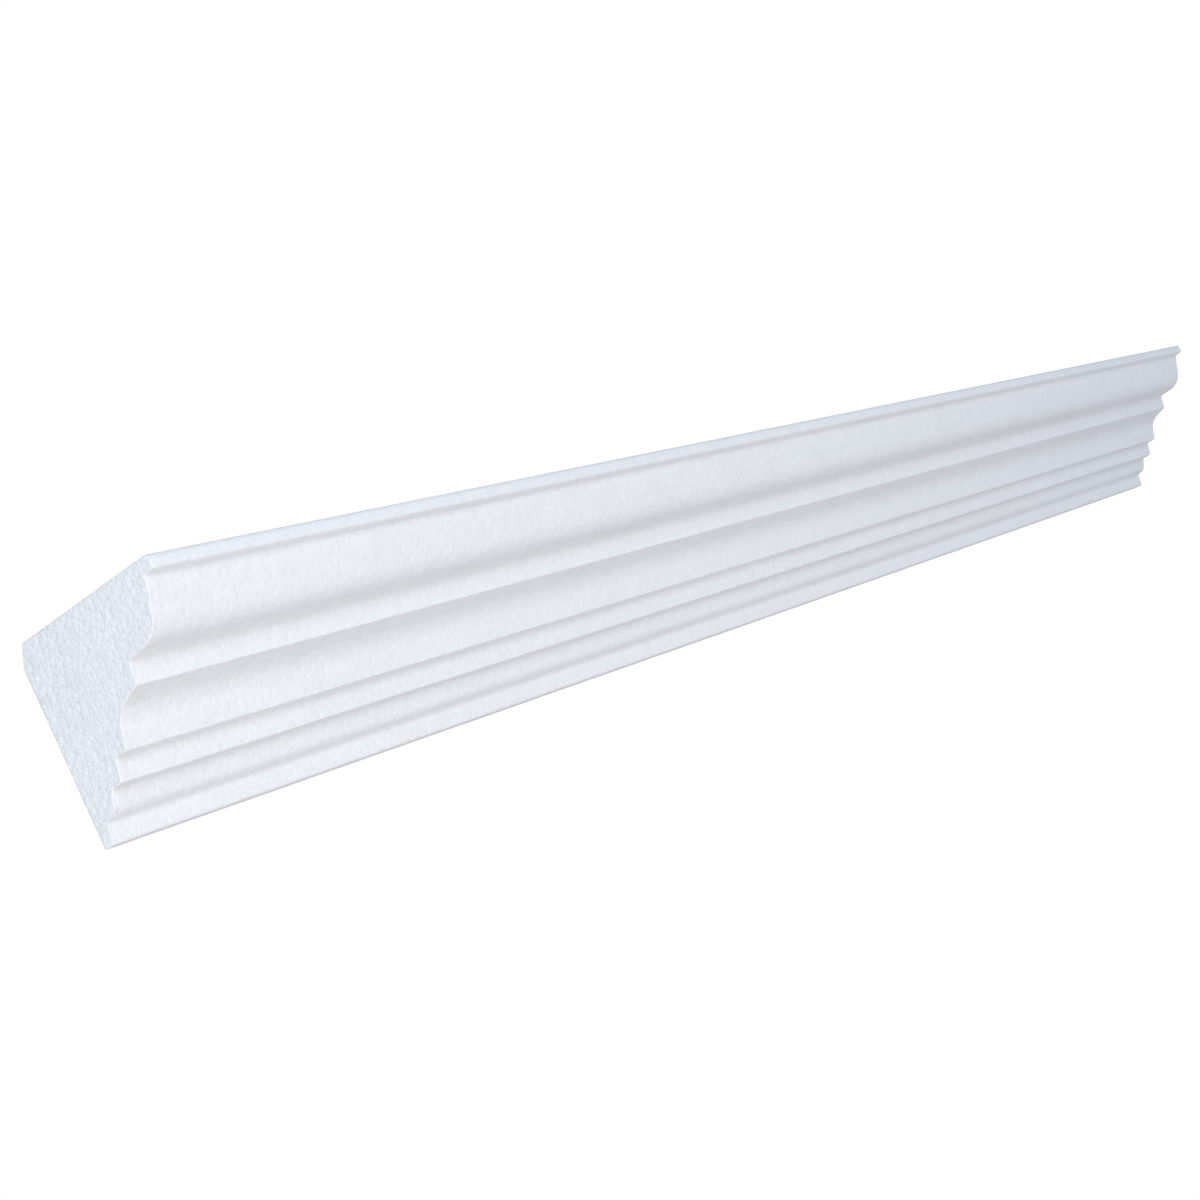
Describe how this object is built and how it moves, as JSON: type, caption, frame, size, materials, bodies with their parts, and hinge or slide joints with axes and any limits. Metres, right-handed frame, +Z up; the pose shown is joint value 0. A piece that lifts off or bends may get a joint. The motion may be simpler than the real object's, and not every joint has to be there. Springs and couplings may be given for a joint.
{
  "type": "crown moulding",
  "caption": "Straight length of white expanded-foam crown moulding with a stepped and curved face, for the corner of a wall and a ceiling.",
  "frame": {"origin": "centre of the flat wall face, half-way along the moulding", "axes": "+X along the moulding, +Y out of the wall face towards the wall, +Z up towards the ceiling; the moulded face looks along -Y"},
  "size_m": [2, 0.15, 0.15],
  "materials": {
    "foam": "matt white foam of fused beads, faintly pebbled"
  },
  "bodies": {
    "root": {"moulding": "foam"}
  },
  "joints": []
}
